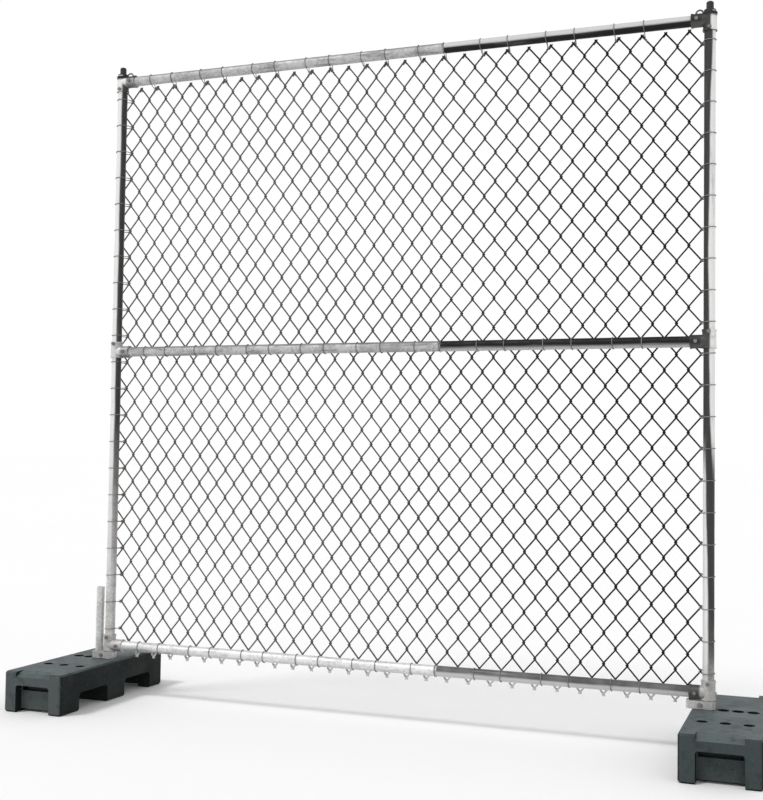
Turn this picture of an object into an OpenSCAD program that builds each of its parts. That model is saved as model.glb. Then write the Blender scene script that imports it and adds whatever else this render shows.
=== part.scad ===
// Free-standing temporary fence panel: two posts, three spliced rails, chain-link mesh, moulded feet.
// Millimetres. +X runs along the panel, -Y is the side with the long toes of the feet, +Z is up.
// The origin is on the ground, midway between the two feet.

/* [Posts and rails] */
// Distance between the centrelines of the two posts
panel_w = 1940; // [1400:10:2600]
// Outside diameter of a post
post_d = 32; // [28:0.5:32]
// Wall of a post
post_wall = 2; // [1.5:0.1:4]
// Outside diameter of a rail
rail_d = 32; // [26:0.5:34]
// Wall of a rail
rail_wall = 2; // [1.5:0.1:4]
// Height of the bottom rail's centreline above the top of the feet
bottom_rail_lift = 45; // [45:1:90]
// Height of the middle rail above the bottom rail, centre to centre
mid_rail_rise = 980; // [700:10:1200]
// Height of the top rail above the bottom rail, centre to centre
top_rail_rise = 1900; // [1600:10:2200]
// Height of a post's end above the top rail's centreline
post_rise = 24; // [24:1:60]
// Distance from the middle of the panel to the splice in each rail
splice_x = 170; // [-400:10:400]
// Length of the reduced end that enters the next rail length
swage_l = 60; // [30:1:120]
// Length of the taper down to the reduced end
swage_taper_l = 10; // [5:1:20]

/* [Tee fittings] */
// Wall of a tee fitting
tee_wall = 3.5; // [2.5:0.1:4]
// Length of the rail socket, from the post's centreline
cup_l = 52; // [45:1:70]
// Height of the bead round each mouth of a tee
bead_h = 1.2; // [0.5:0.1:2]
// Width of the bead round each mouth of a tee
bead_w = 5; // [3:0.5:8]
// Distance from the post's surface to the end of a rail in its socket
rail_end_gap = 5; // [4:0.5:8]
// Reach of the long side of the sleeve from the rail's centreline
sleeve_reach = 34; // [33:1:50]
// Shank diameter of a set bolt
set_bolt_d = 6; // [5:1:7]
// Height of the boss under a set bolt's head
set_boss_h = 2.5; // [1.5:0.5:4]

/* [Chain-link mesh] */
// Diameter of the mesh wire
wire_d = 4.5; // [2.5:0.1:5]
// Upright zigzag wires across the panel
pickets = 26; // [12:2:26]
// Whole diamonds in each upright row
mesh_rows = 10; // [6:1:10]
// Drop from the top rail's centreline to the mesh's upper knots
mesh_top_drop = 24; // [24:1:60]
// Drop from the bottom rail's centreline to the mesh's lower knots
mesh_bottom_drop = 14; // [0:1:14]
// Distance from a post's surface to the mesh's outer bends
mesh_edge_gap = 7; // [6:0.5:12]
// Thickness of a tie strap
tie_t = 1.6; // [1:0.1:2.5]
// Width of a tie strap
tie_w = 2.4; // [1.6:0.1:4]
// Mesh wires from one rail tie to the next
tie_step = 3; // [2:1:6]

/* [Feet] */
// Length of a foot
foot_l = 600; // [540:5:800]
// Width of a foot
foot_w = 210; // [190:5:300]
// Height of a foot
foot_h = 125; // [110:1:160]
// Length of the leg at the toe
toe_leg_l = 100; // [90:1:130]
// Length of the middle leg, which holds the sockets
mid_leg_l = 100; // [90:1:120]
// Length of the leg at the heel
heel_leg_l = 82; // [82:1:120]
// Height of the two tunnels under a foot
tunnel_h = 56; // [30:1:70]
// Distance of the row of sockets behind the middle of its leg
socket_back = 26; // [0:1:26]
// Spacing of the sockets across a foot
socket_pitch = 40; // [38:0.5:46]
// Diameter of a socket
socket_d = 34; // [33:0.5:35]
// Thickness of foot under a socket
socket_floor = 20; // [12:1:40]
// Width of the hand pocket in each end
pocket_w = 122; // [90:1:140]
// Height of the hand pocket above the ground
pocket_h = 84; // [60:1:95]
// Depth of the hand pocket
pocket_depth = 30; // [20:1:40]
// Height of the finger slot at the top of the pocket
grip_h = 20; // [14:1:30]
// Depth of the finger slot beyond the pocket
grip_depth = 26; // [10:1:30]
// Length of the scooped edge above each pocket
scoop_l = 40; // [20:1:60]
// Drop of the scooped edge
scoop_drop = 15; // [8:1:25]
// Diameter of the shallow dimples near the toe
dimple_d = 30; // [20:1:40]
// Depth of a dimple
dimple_depth = 6; // [3:1:12]
// Distance from the toe end to the row of dimples
dimple_from_toe = 165; // [120:1:200]
// Radius of a foot's upright edges
foot_edge_r = 12; // [6:1:25]
// Chamfer round the top and bottom of a foot
foot_chamfer = 5; // [2:0.5:10]

/* [Coupler and spigot] */
// Wall of a coupler outside the tube that it grips
coupler_wall = 3; // [2:0.1:3.2]
// Height of a coupler
coupler_h = 22; // [16:1:22]
// Gap between a coupler and the foot under it
coupler_lift = 1.5; // [1:0.1:2]
// Opening between the two halves of a coupler
coupler_split = 2; // [1:0.1:4]
// Shank diameter of the coupler bolt
coupler_bolt_d = 6; // [5:0.5:6]
// Outside diameter of the loose spigot
spigot_d = 26; // [22:0.5:26]
// Wall of the spigot
spigot_wall = 2.5; // [1.5:0.1:4]
// Height of the spigot above the top of the foot
spigot_rise = 235; // [120:5:320]

/* [Caps and corner eyes] */
// Depth of a cap's plug inside the post
plug_l = 18; // [10:1:30]
// Overhang of a cap's flange beyond the post
cap_lip = 0.8; // [0.5:0.1:3]
// Thickness of a cap's flange
cap_flange_t = 3; // [2:0.5:8]
// Diameter of the knob on a cap
knob_d = 21; // [16:0.5:26]
// Height of the knob's straight side above the flange
knob_h = 20; // [10:1:40]
// Height of the knob's domed end
cap_dome_h = 6; // [4:1:12]
// Rod diameter of a corner eye
eye_rod_d = 5; // [4:0.5:6]
// Radius of a corner eye's bend
eye_bend_r = 10; // [8:0.5:12]

/* [Hidden] */

// Facets of a true round, of a round inside a hull and of a hexagon, and sides of the mesh wire
round_fn = 96;
hull_fn = 32;
hex_fn = 6;
wire_sides = 4;
// Parts of a bolt as shares of its shank's diameter
head_r_share = 0.96;
head_h_share = 0.7;
boss_r_share = 1;
washer_r_share = 1.15;
washer_t_share = 0.2;
bolt_tail_share = 0.5;
// Chamfers of a foot's openings as shares of its edge chamfer, and of a coupler as a share of its radius
tunnel_chamfer_share = 2;
heel_gap_share = 1.6;
coupler_chamfer_share = 0.4;
// Drop halfway along a foot's scooped edge, as a share of the whole drop
scoop_mid_share = 0.3;
// Where a tie's straight runs leave its loops, as a share of the loop's radius
tie_run_share = 0.96;
// Overrun of every cut
over = 1;
// Radial gap round a tube that something slips over, and the gap at a bolt's tip and shank
slip_gap = 0.3;
bolt_gap = 0.2;
// Gap between a weld end and the tube that it meets
weld_gap = 0.1;
// Gap from the mesh to the tees in front of it, and between linked mesh wires
mesh_gap = 0.4;
link_gap = 0.5;
// Half height over which a wire passes from front to back at a bend
bend_h = 3;
// Free room in a tie's small loop round an upright bend and round a slanted wire
bend_slack = 1.4;
strand_slack = 4.5;
// Drop from the upper knots to the ties of the top rail
tie_drop = 12;

post_r = post_d / 2;
rail_r = rail_d / 2;
wire_r = wire_d / 2;
spigot_r = spigot_d / 2;
socket_r = socket_d / 2;

// Heights
bottom_rail_z = foot_h + bottom_rail_lift;
mid_rail_z = bottom_rail_z + mid_rail_rise;
top_rail_z = bottom_rail_z + top_rail_rise;
post_top_z = top_rail_z + post_rise;

// Places across and along the panel
left_x = -panel_w / 2;
right_x = panel_w / 2;
tunnel_l = (foot_l - toe_leg_l - mid_leg_l - heel_leg_l) / 2;
socket_from_toe = toe_leg_l + tunnel_l + mid_leg_l / 2 + socket_back;
panel_y = socket_from_toe - foot_l / 2;
sockets = 4;
socket_span = (sockets - 1) * socket_pitch;
foot_offset = socket_span / 2;
left_foot_x = left_x - foot_offset;
right_foot_x = right_x + foot_offset;

// Tee fittings
tee_r = post_r + tee_wall;
cup_r = rail_r + tee_wall;
cup_floor = post_r + rail_end_gap;
set_bolt_r = set_bolt_d / 2;
set_boss_r = set_bolt_d * boss_r_share;
set_head_r = set_bolt_d * head_r_share;
set_head_h = set_bolt_d * head_h_share;
set_z = (cup_r + sleeve_reach) / 2;
set_x = (tee_r + cup_l) / 2;

// Swaged end of a rail length
swage_r = rail_r - rail_wall - slip_gap;

// Mesh
mesh_depth = wire_r + link_gap / 2;
mesh_hook = wire_r + link_gap / 2;
mesh_y = panel_y + max(tee_r, cup_r) + bead_h + mesh_gap + mesh_depth + wire_r;
mesh_x0 = left_x + post_r + mesh_edge_gap + mesh_hook;
mesh_w = -2 * mesh_x0;
picket_w = mesh_w / pickets;
mesh_z0 = bottom_rail_z - mesh_bottom_drop;
mesh_z1 = top_rail_z - mesh_top_drop;
half_rows = 2 * mesh_rows;
half_row_h = (mesh_z1 - mesh_z0) / half_rows;

// Feet
toe_y = -foot_l / 2;
tunnel_chamfer = foot_chamfer * tunnel_chamfer_share;
pocket_chamfer = foot_chamfer;
heel_gap = foot_chamfer * heel_gap_share;

// Coupler
coupler_z = foot_h + coupler_lift;
coupler_r = post_r + slip_gap + coupler_wall;
coupler_bolt_r = coupler_bolt_d / 2;
coupler_bolt_x = -(post_r + socket_pitch - spigot_r) / 2;
coupler_chamfer = coupler_r * coupler_chamfer_share;
coupler_head_r = coupler_bolt_d * head_r_share;
coupler_head_h = coupler_bolt_d * head_h_share;
washer_r = coupler_bolt_d * washer_r_share;
washer_t = coupler_bolt_d * washer_t_share;
bolt_tail = coupler_bolt_d * bolt_tail_share;

// Caps
plug_r = post_r - post_wall - bolt_gap;
cap_r = post_r + cap_lip;
knob_r = knob_d / 2;
dome_step = 10;

galvanised = "gainsboro";
weathered = "dimgray";
zinc = "lightgray";

// A tube standing on z0
module upright_tube(r, wall, z0, z1) {
    translate([0, 0, z0])
        difference() {
            cylinder(r = r, h = z1 - z0, $fn = round_fn);
            translate([0, 0, -over]) cylinder(r = r - wall, h = z1 - z0 + 2 * over, $fn = round_fn);
        }
}

module post(x) {
    color(weathered)
        translate([x, panel_y, 0])
        upright_tube(post_r, post_wall, socket_floor, post_top_z);
}

// The longer rail length, with a reduced end that enters its neighbour
module rail_left(z) {
    run = splice_x - left_x - cup_floor;
    inner_r = rail_r - rail_wall;
    color(galvanised)
        translate([left_x + cup_floor, panel_y, z])
        rotate([0, 90, 0])
        rotate_extrude($fn = round_fn)
        polygon([
            [inner_r, 0],
            [rail_r, 0],
            [rail_r, run],
            [swage_r, run + swage_taper_l],
            [swage_r, run + swage_taper_l + swage_l],
            [swage_r - rail_wall, run + swage_taper_l + swage_l],
            [swage_r - rail_wall, run + swage_taper_l],
            [inner_r, run]
        ]);
}

// The shorter rail length, a plain tube over the reduced end
module rail_right(z) {
    start = splice_x + swage_taper_l;
    color(weathered)
        translate([start, panel_y, z])
        rotate([0, 90, 0])
        upright_tube(rail_r, rail_wall, 0, right_x - cup_floor - start);
}

// A set bolt's boss, hole or bolt, pointing to -Y from the axis of the tube that it bears on
module set_boss(tube_r) {
    rotate([90, 0, 0]) cylinder(r = set_boss_r, h = tube_r + tee_wall + set_boss_h, $fn = round_fn);
}

module set_hole(tube_r) {
    rotate([90, 0, 0])
        cylinder(r = set_bolt_r + bolt_gap, h = tube_r + tee_wall + set_boss_h + over, $fn = round_fn);
}

module set_bolt(tube_r) {
    seat = tube_r + tee_wall + set_boss_h;
    tip = tube_r + bolt_gap;
    rotate([90, 0, 0]) {
        translate([0, 0, tip]) cylinder(r = set_bolt_r, h = seat - tip, $fn = round_fn);
        translate([0, 0, seat]) cylinder(r = set_head_r, h = set_head_h, $fn = hex_fn);
    }
}

// A slip-on tee with its post sleeve on Z and its rail socket on +X; side is 1 with the long sleeve up
module tee_shape(side) {
    z0 = side > 0 ? -cup_r : -sleeve_reach;
    sleeve_h = cup_r + sleeve_reach;
    color(zinc)
        difference() {
            union() {
                translate([0, 0, z0]) cylinder(r = tee_r, h = sleeve_h, $fn = round_fn);
                for (z = [z0, z0 + sleeve_h - bead_w])
                    translate([0, 0, z]) cylinder(r = tee_r + bead_h, h = bead_w, $fn = round_fn);
                rotate([0, 90, 0]) {
                    cylinder(r = cup_r, h = cup_l, $fn = round_fn);
                    translate([0, 0, cup_l - bead_w])
                        cylinder(r = cup_r + bead_h, h = bead_w, $fn = round_fn);
                }
                translate([0, 0, side * set_z]) set_boss(post_r);
                translate([set_x, 0, 0]) set_boss(rail_r);
            }
            translate([0, 0, z0 - over])
                cylinder(r = post_r + slip_gap, h = sleeve_h + 2 * over, $fn = round_fn);
            translate([cup_floor, 0, 0])
                rotate([0, 90, 0])
                cylinder(r = rail_r + slip_gap, h = cup_l, $fn = round_fn);
            translate([0, 0, side * set_z]) set_hole(post_r);
            translate([set_x, 0, 0]) set_hole(rail_r);
        }
}

module left_tee(z, side) {
    translate([left_x, panel_y, z]) tee_shape(side);
}

module right_tee(z, side) {
    translate([right_x, panel_y, z]) mirror([1, 0, 0]) tee_shape(side);
}

// The two bolts of each tee
module tee_set_bolts() {
    color(zinc)
        for (hand = [-1, 1])
            for (seat = [[bottom_rail_z, 1], [mid_rail_z, 1], [top_rail_z, -1]])
                translate([hand * right_x, panel_y, seat[0]]) {
                    translate([0, 0, seat[1] * set_z]) set_bolt(post_r);
                    translate([-hand * set_x, 0, 0]) set_bolt(rail_r);
                }
}

// A cap whose plug fills the end of a post, with a domed knob above its flange
module post_cap(x) {
    color("black")
        translate([x, panel_y, post_top_z])
        rotate_extrude($fn = round_fn)
        polygon([
            [0, -plug_l],
            [plug_r, -plug_l],
            [plug_r, 0],
            [cap_r, 0],
            [cap_r, cap_flange_t],
            [knob_r, cap_flange_t],
            for (a = [0 : dome_step : 90])
                [knob_r * cos(a), cap_flange_t + knob_h + cap_dome_h * sin(a)]
        ]);
}

// A half ring of rod that stands on a tee's rail socket, close beside the post
module corner_eye() {
    eye_rod_r = eye_rod_d / 2;
    color(zinc)
        translate([post_r + slip_gap + eye_rod_r + eye_bend_r, 0, cup_r + weld_gap])
        rotate([90, 0, 0])
        rotate_extrude(angle = 180, $fn = round_fn)
        translate([eye_bend_r, 0]) circle(r = eye_rod_r, $fn = round_fn);
}

// Mesh wire k bends to the right at every other height, and its neighbours bend to meet it
function bends_right(k, i) = (k + i) % 2 == 1;
function picket_x(k) = mesh_x0 + k * picket_w;
function bend_x(k, i) = bends_right(k, i) ? picket_x(k + 1) + mesh_hook : picket_x(k) - mesh_hook;
function bend_z(i) = mesh_z0 + i * half_row_h;

// A rising wire lies in front, a returning wire behind, and each bend passes between the two
function bend_points(k, i) = let (front = bends_right(k, i) ? -mesh_depth : mesh_depth) [
    [bend_x(k, i), mesh_y + front, bend_z(i) - bend_h],
    [bend_x(k, i), mesh_y - front, bend_z(i) + bend_h]
];
function picket_path(k) = [for (i = [0 : half_rows]) for (p = bend_points(k, i)) p];

// Place across the panel of mesh wire k at a height
function strand_x(k, z) =
    let (i = min(floor((z - mesh_z0) / half_row_h), half_rows - 1))
    let (rise = (z - bend_z(i) - bend_h) / (half_row_h - 2 * bend_h))
    bend_x(k, i) + rise * (bend_x(k, i + 1) - bend_x(k, i));

function unit(v) = v / norm(v);
function path_way(path, i) =
    unit(path[min(i + 1, len(path) - 1)] - path[max(i - 1, 0)]);
function wire_ring(p, way) =
    let (u = unit(cross([0, 1, 0], way)))
    let (v = cross(way, u))
    [for (s = [0 : wire_sides - 1])
        let (a = 360 * s / wire_sides)
        p + wire_r * (cos(a) * u + sin(a) * v)];

// A wire swept along a path, closed at both ends
module wire(path) {
    n = wire_sides;
    last = (len(path) - 1) * n;
    points = [for (i = [0 : len(path) - 1]) for (q = wire_ring(path[i], path_way(path, i))) q];
    sides = [
        for (i = [0 : len(path) - 2])
            for (s = [0 : n - 1])
                let (a = i * n + s, b = i * n + (s + 1) % n)
                for (f = [[a, a + n, b], [b, a + n, b + n]]) f
    ];
    ends = [
        for (s = [1 : n - 2])
            for (f = [[0, s, s + 1], [last, last + s + 1, last + s]]) f
    ];
    polyhedron(points, concat(sides, ends));
}

module chain_link_mesh() {
    color("silver")
        for (k = [0 : pickets - 1]) wire(picket_path(k));
}

// Outline of a belt round two circles, the first at the origin and the second at b
module belt(b, ra, rb) {
    along = atan2(b[1], b[0]);
    spread = acos((ra - rb) / norm(b));
    up = tie_run_share * [cos(along + spread), sin(along + spread)];
    down = tie_run_share * [cos(along - spread), sin(along - spread)];
    circle(r = ra, $fn = round_fn);
    translate(b) circle(r = rb, $fn = round_fn);
    polygon([ra * up, b + rb * up, b + rb * down, ra * down]);
}

// A tie strap round a tube at the origin and a mesh wire at b, lying in the XY plane
module tie(b, tube_r, wire_room) {
    inner_r = tube_r + slip_gap;
    translate([0, 0, -tie_w / 2])
        linear_extrude(tie_w)
        difference() {
            belt(b, inner_r + tie_t, wire_room + tie_t);
            belt(b, inner_r, wire_room);
        }
}

// Ties round a post, at every outer bend between the top and bottom tees
module post_ties(x, hand) {
    reach = [hand * (post_r + mesh_edge_gap), mesh_y - panel_y];
    color(weathered)
        for (i = [2 : 2 : half_rows - 2])
            translate([x, panel_y, bend_z(i)]) tie(reach, post_r, wire_r + bend_slack);
}

// Ties round a rail; the tie's X and Y lie along the part's Y and Z
module rail_ties(z) {
    wire_z = min(z, mesh_z1 - tie_drop);
    color(weathered)
        for (k = [tie_step - 1 : tie_step : pickets - tie_step])
            translate([strand_x(k, wire_z), panel_y, z])
            rotate([90, 0, 90])
            tie([mesh_y - panel_y, wire_z - z], rail_r, wire_r + strand_slack);
}

// The bare block of a foot, chamfered top and bottom, with its middle over the origin
module foot_block() {
    half_l = foot_l / 2 - foot_edge_r;
    half_w = foot_w / 2 - foot_edge_r;
    waist_h = foot_h - 2 * foot_chamfer;
    hull()
        for (x = [-half_w, half_w])
            for (y = [-half_l, half_l])
                translate([x, y, 0]) {
                    cylinder(r = foot_edge_r - foot_chamfer, h = foot_h, $fn = hull_fn);
                    translate([0, 0, foot_chamfer]) cylinder(r = foot_edge_r, h = waist_h, $fn = hull_fn);
                }
}

// A cut right across a foot under a tunnel's roof, from y to y + tunnel_l
module tunnel_cut(y) {
    translate([-foot_w / 2 - over, y, 0])
        rotate([90, 0, 90])
        linear_extrude(foot_w + 2 * over)
        polygon([
            [0, -over],
            [tunnel_l, -over],
            [tunnel_l, tunnel_h - tunnel_chamfer],
            [tunnel_l - tunnel_chamfer, tunnel_h],
            [tunnel_chamfer, tunnel_h],
            [0, tunnel_h - tunnel_chamfer]
        ]);
}

// The hand pocket, finger slot and scooped edge at the toe end
module end_cuts(leg_l) {
    half = pocket_w / 2;
    translate([0, toe_y, 0]) {
        translate([0, pocket_depth, 0])
            rotate([90, 0, 0])
            linear_extrude(pocket_depth + over)
            polygon([
                [-half, -over],
                [half, -over],
                [half, pocket_h - pocket_chamfer],
                [half - pocket_chamfer, pocket_h],
                [-half + pocket_chamfer, pocket_h],
                [-half, pocket_h - pocket_chamfer]
            ]);
        translate([-half + pocket_chamfer, 0, pocket_h - grip_h])
            cube([pocket_w - 2 * pocket_chamfer, pocket_depth + grip_depth, grip_h]);
        translate([-half, 0, -over]) cube([pocket_w, leg_l + over, heel_gap + over]);
        translate([-half, 0, foot_h])
            rotate([90, 0, 90])
            linear_extrude(pocket_w)
            polygon([
                [-over, over],
                [scoop_l, over],
                [scoop_l, 0],
                [scoop_l / 2, -scoop_drop * scoop_mid_share],
                [0, -scoop_drop],
                [-over, -scoop_drop]
            ]);
    }
}

module foot(x) {
    color("darkslategray")
        translate([x, 0, 0])
        difference() {
            foot_block();
            tunnel_cut(toe_y + toe_leg_l);
            tunnel_cut(toe_y + toe_leg_l + tunnel_l + mid_leg_l);
            end_cuts(toe_leg_l);
            mirror([0, 1, 0]) end_cuts(heel_leg_l);
            for (i = [0 : sockets - 1])
                translate([i * socket_pitch - foot_offset, panel_y, socket_floor])
                    cylinder(r = socket_r, h = foot_h, $fn = round_fn);
            for (i = [-1 : 1])
                translate([i * foot_offset, toe_y + dimple_from_toe, foot_h - dimple_depth])
                    cylinder(r = dimple_d / 2, h = foot_h, $fn = round_fn);
        }
}

// The back half of a coupler that grips a post at the origin and a spigot on -X
module coupler_shape() {
    bolt_hole_r = coupler_bolt_r + bolt_gap;
    low_x = -socket_pitch - coupler_r;
    split_y = coupler_split / 2;
    difference() {
        linear_extrude(coupler_h)
            difference() {
                polygon([
                    [low_x, split_y],
                    [coupler_r, split_y],
                    [coupler_r, coupler_r - coupler_chamfer],
                    [coupler_r - coupler_chamfer, coupler_r],
                    [low_x + coupler_chamfer, coupler_r],
                    [low_x, coupler_r - coupler_chamfer]
                ]);
                circle(r = post_r + slip_gap, $fn = round_fn);
                translate([-socket_pitch, 0]) circle(r = spigot_r + slip_gap, $fn = round_fn);
            }
        translate([coupler_bolt_x, coupler_r + over, coupler_h / 2])
            rotate([90, 0, 0])
            cylinder(r = bolt_hole_r, h = coupler_r + 2 * over, $fn = round_fn);
    }
}

module coupler_front(x) {
    color(zinc)
        translate([x, panel_y, coupler_z])
        mirror([0, 1, 0])
        coupler_shape();
}

module coupler_back(x) {
    color(zinc)
        translate([x, panel_y, coupler_z])
        coupler_shape();
}

// The coupler's bolt with its washer, and the nut behind
module coupler_bolt(x) {
    seat = coupler_r + washer_t;
    color(zinc)
        translate([x + coupler_bolt_x, panel_y, coupler_z + coupler_h / 2])
        rotate([90, 0, 0]) {
            translate([0, 0, -seat - coupler_head_h - bolt_tail])
                cylinder(r = coupler_bolt_r, h = 2 * seat + coupler_head_h + bolt_tail, $fn = round_fn);
            translate([0, 0, coupler_r]) cylinder(r = washer_r, h = washer_t, $fn = round_fn);
            translate([0, 0, seat]) cylinder(r = coupler_head_r, h = coupler_head_h, $fn = hex_fn);
            translate([0, 0, -seat]) cylinder(r = washer_r, h = washer_t, $fn = round_fn);
            translate([0, 0, -seat - coupler_head_h])
                cylinder(r = coupler_head_r, h = coupler_head_h, $fn = hex_fn);
        }
}

// A short tube that stands in the socket beside the left post
module spigot() {
    color(galvanised)
        translate([left_x - socket_pitch, panel_y, 0])
        upright_tube(spigot_r, spigot_wall, socket_floor, foot_h + spigot_rise);
}

post(left_x);  // left_post
post(right_x);  // right_post
rail_left(top_rail_z);  // top_rail_left
rail_right(top_rail_z);  // top_rail_right
rail_left(mid_rail_z);  // middle_rail_left
rail_right(mid_rail_z);  // middle_rail_right
rail_left(bottom_rail_z);  // bottom_rail_left
rail_right(bottom_rail_z);  // bottom_rail_right
left_tee(top_rail_z, -1);  // top_left_tee
right_tee(top_rail_z, -1);  // top_right_tee
left_tee(mid_rail_z, 1);  // middle_left_tee
right_tee(mid_rail_z, 1);  // middle_right_tee
left_tee(bottom_rail_z, 1);  // bottom_left_tee
right_tee(bottom_rail_z, 1);  // bottom_right_tee
tee_set_bolts();
post_cap(left_x);  // left_post_cap
post_cap(right_x);  // right_post_cap
translate([left_x, panel_y, top_rail_z]) corner_eye();  // left_corner_eye
translate([right_x, panel_y, top_rail_z]) mirror([1, 0, 0]) corner_eye();  // right_corner_eye
chain_link_mesh();
post_ties(left_x, 1);  // left_post_ties
post_ties(right_x, -1);  // right_post_ties
rail_ties(top_rail_z);  // top_rail_ties
rail_ties(mid_rail_z);  // middle_rail_ties
rail_ties(bottom_rail_z);  // bottom_rail_ties
foot(left_foot_x);  // left_foot
foot(right_foot_x);  // right_foot
coupler_front(left_x);  // left_coupler_front
coupler_back(left_x);  // left_coupler_back
coupler_bolt(left_x);  // left_coupler_bolt
coupler_front(right_x);  // right_coupler_front
coupler_back(right_x);  // right_coupler_back
coupler_bolt(right_x);  // right_coupler_bolt
spigot();
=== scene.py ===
"""Temporary fence panel, dressed for a studio picture.

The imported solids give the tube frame, the fittings and the feet. This script makes the full
chain-link mesh and its wire ties, and gives every piece its finish.
"""
import logging
import math
from abc import ABC, abstractmethod
from dataclasses import dataclass, field
from enum import Enum
from functools import cache
from typing import Iterable, Sequence

import bmesh
import bpy
from mathutils import Matrix, Quaternion, Vector


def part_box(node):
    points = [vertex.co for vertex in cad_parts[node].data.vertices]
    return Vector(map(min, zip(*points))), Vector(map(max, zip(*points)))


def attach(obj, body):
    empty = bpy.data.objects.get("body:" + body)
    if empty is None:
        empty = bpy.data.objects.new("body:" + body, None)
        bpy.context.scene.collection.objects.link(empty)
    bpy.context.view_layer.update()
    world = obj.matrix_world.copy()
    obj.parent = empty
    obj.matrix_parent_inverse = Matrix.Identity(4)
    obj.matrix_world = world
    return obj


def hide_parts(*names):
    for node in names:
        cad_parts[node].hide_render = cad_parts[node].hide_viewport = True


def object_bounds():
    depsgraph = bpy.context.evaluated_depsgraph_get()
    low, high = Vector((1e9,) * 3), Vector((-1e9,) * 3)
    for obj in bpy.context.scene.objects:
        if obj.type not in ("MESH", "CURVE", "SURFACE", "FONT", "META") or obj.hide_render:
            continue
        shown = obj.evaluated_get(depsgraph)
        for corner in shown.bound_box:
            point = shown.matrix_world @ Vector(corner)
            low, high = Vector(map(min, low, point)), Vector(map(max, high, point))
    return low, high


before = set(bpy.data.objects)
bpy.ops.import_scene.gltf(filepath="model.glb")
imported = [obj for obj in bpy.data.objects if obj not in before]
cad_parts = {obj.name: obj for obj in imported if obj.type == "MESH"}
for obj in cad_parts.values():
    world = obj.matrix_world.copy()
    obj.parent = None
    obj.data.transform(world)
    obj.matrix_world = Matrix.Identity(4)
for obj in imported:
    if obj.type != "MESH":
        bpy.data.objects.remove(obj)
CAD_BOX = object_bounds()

LOG = logging.getLogger("fence_panel")

Colour = tuple[float, float, float, float]
Span = tuple[float, float]
Path = list[Vector]
Socket = bpy.types.NodeSocket

# The body that carries the mesh and its ties, and the heights of its rails by name
PANEL = "panel"
LEVELS = ("top", "middle", "bottom")
# A bend too small to mitre, the most that a mitre stretches, and the reach that welds points
FLAT_BEND = 1e-5
MOST_STRETCH = 1.6
WELD = 1e-6
# The middle of a cloudy pattern's values, and the span that holds most of them
CLOUD_MIDDLE = 0.5
CLOUD_BULK: Span = (0.3, 0.7)
# The mix node's colour sockets, by number because its other sockets share their names
MIX_A, MIX_B, MIX_RESULT = 6, 7, 2


class Axis(int, Enum):
    """Parts of a place or of a surface's facing."""

    X = 0
    Y = 1
    Z = 2


class Side(int, Enum):
    """Which way a piece faces along X."""

    LEFT = -1
    RIGHT = 1


@dataclass(frozen=True)
class Cloud:
    """A cloudy pattern: its features to the metre, and its octaves of finer pattern."""

    scale: float
    detail: float = 4.0


@dataclass(frozen=True)
class Relief:
    """A fine relief of added clouds: how strongly it shows, and its depth in metres."""

    clouds: tuple[Cloud, ...]
    strength: float
    depth: float


def grey(value: float, warm: float = 0.0) -> Colour:
    """Return a neutral colour.

    Args:
        value: How light it is, from 0 to 1.
        warm: Share by which its red is raised and its blue lowered.

    Returns:
        The colour, with nothing seen through it.
    """
    return (value * (1 + warm), value, value * (1 - warm), 1.0)


# Shader building


def smooth_map(tree: bpy.types.NodeTree, value: Socket, span: Span, to: Span) -> Socket:
    """Map a value smoothly from one span to another, and hold it inside.

    Args:
        tree: The node tree to fill.
        value: The value.
        span: Where the mapping starts and ends, in either order.
        to: What the start and the end become.

    Returns:
        A value socket.
    """
    node = tree.nodes.new("ShaderNodeMapRange")
    node.interpolation_type = "SMOOTHSTEP"
    tree.links.new(value, node.inputs["Value"])
    for socket, number in zip(("From Min", "From Max", "To Min", "To Max"), (*span, *to)):
        node.inputs[socket].default_value = number
    return node.outputs["Result"]


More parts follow.
